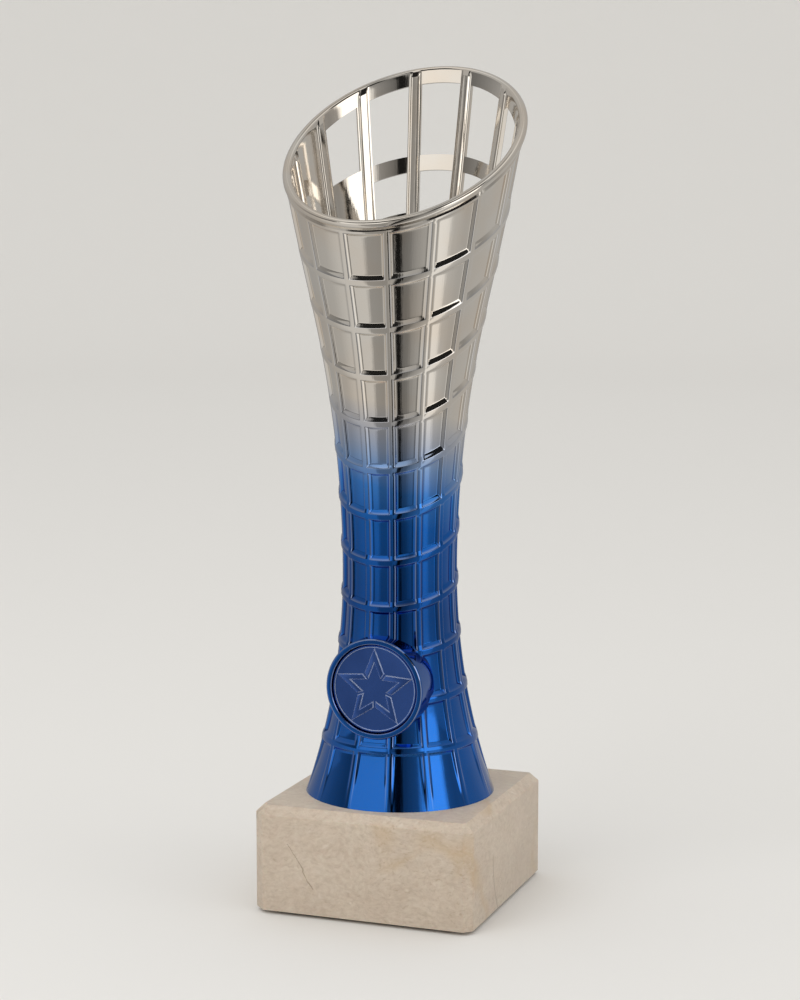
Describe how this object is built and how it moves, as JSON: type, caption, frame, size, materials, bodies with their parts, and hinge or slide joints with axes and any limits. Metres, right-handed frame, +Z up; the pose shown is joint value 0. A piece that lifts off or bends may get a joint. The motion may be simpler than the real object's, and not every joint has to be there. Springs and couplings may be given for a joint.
{
  "type": "column trophy",
  "caption": "Hollow hourglass column trophy with a slanted open mouth, a ribbed panel grid, a round front disc holder with a star insert, and a bevelled marble base.",
  "frame": {"origin": "middle of the underside of the felt sheet, on the surface that the trophy stands on and on the column's axis", "axes": "+Z up along the column's axis; -Y is the front, where the disc holder is; +Y is the back, where the mouth is highest"},
  "size_m": [0.0694, 0.0712, 0.2388],
  "materials": {
    "marble": "honed cream marble",
    "column_finish": "metallised mirror finish, silver at the top fading to clear blue lacquer",
    "plug_plastic": "plain moulded",
    "disc_finish": "metallised, clear blue lacquer",
    "adhesive": "foam tape",
    "bolt_steel": "zinc plated",
    "washer_steel": "zinc plated",
    "nut_steel": "zinc plated",
    "felt": "self-adhesive felt"
  },
  "bodies": {
    "root": {"marble_base": "marble", "column": "column_finish", "foot_plug": "plug_plastic", "star_disc": "disc_finish", "disc_adhesive": "adhesive", "fixing_bolt": "bolt_steel", "bolt_washer": "washer_steel", "trapped_nut": "nut_steel", "base_felt": "felt"}
  },
  "joints": []
}
